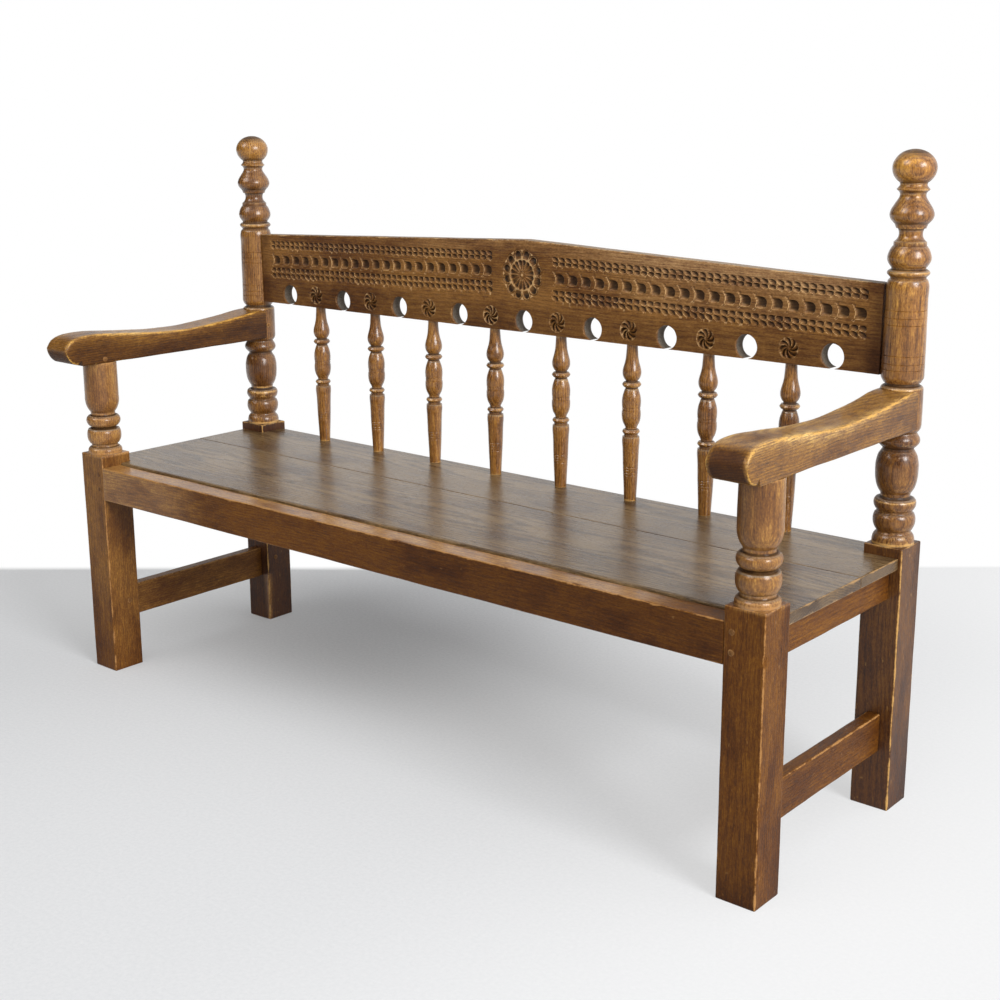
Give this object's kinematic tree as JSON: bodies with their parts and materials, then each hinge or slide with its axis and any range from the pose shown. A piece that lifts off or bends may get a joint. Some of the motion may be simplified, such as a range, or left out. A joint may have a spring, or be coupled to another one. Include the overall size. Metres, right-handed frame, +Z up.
{
  "type": "deacons bench",
  "caption": "Long open oak settle with square legs, turned back posts and spindles, shaped arms, board seat and a pierced, chip-carved, gabled crest rail.",
  "frame": {"origin": "on the floor, at the middle of the bounding box seen from above, arm noses included", "axes": "+X along the bench to the sitter's left, +Y to the back, -Y the front, +Z up"},
  "size_m": [1.6, 0.554, 1.0785],
  "materials": {
    "oak_frame": "satin waxed oak, dark brown",
    "oak_turned": "polished golden brown oak",
    "oak_seat": "satin, worn grey-brown oak",
    "oak_arm": "hand-polished grey-brown oak with worn golden edges",
    "oak_crest": "waxed brown oak, dusty in the carving",
    "oak_peg": "end grain, dark"
  },
  "bodies": {
    "root": {"front_leg_left": "oak_frame", "back_post_left": "oak_turned", "side_seat_rail_left": "oak_frame", "lower_stretcher_left": "oak_frame", "arm_left": "oak_arm", "front_leg_right": "oak_frame", "back_post_right": "oak_turned", "side_seat_rail_right": "oak_frame", "lower_stretcher_right": "oak_frame", "arm_right": "oak_arm", "front_seat_rail": "oak_frame", "back_seat_rail": "oak_frame", "seat_board_front": "oak_seat", "seat_board_back": "oak_seat", "crest_rail": "oak_crest", "spindle_1": "oak_turned", "spindle_2": "oak_turned", "spindle_3": "oak_turned", "spindle_4": "oak_turned", "spindle_5": "oak_turned", "spindle_6": "oak_turned", "spindle_7": "oak_turned", "spindle_8": "oak_turned", "front_rail_peg_left_1": "oak_peg", "back_rail_peg_left_1": "oak_peg", "stretcher_peg_left_1": "oak_peg", "front_rail_peg_left_2": "oak_peg", "back_rail_peg_left_2": "oak_peg", "stretcher_peg_left_2": "oak_peg", "arm_peg_left": "oak_peg", "arm_end_peg_left": "oak_peg", "crest_peg_left": "oak_peg", "front_rail_peg_right_1": "oak_peg", "back_rail_peg_right_1": "oak_peg", "stretcher_peg_right_1": "oak_peg", "front_rail_peg_right_2": "oak_peg", "back_rail_peg_right_2": "oak_peg", "stretcher_peg_right_2": "oak_peg", "arm_peg_right": "oak_peg", "arm_end_peg_right": "oak_peg", "crest_peg_right": "oak_peg"}
  },
  "joints": []
}
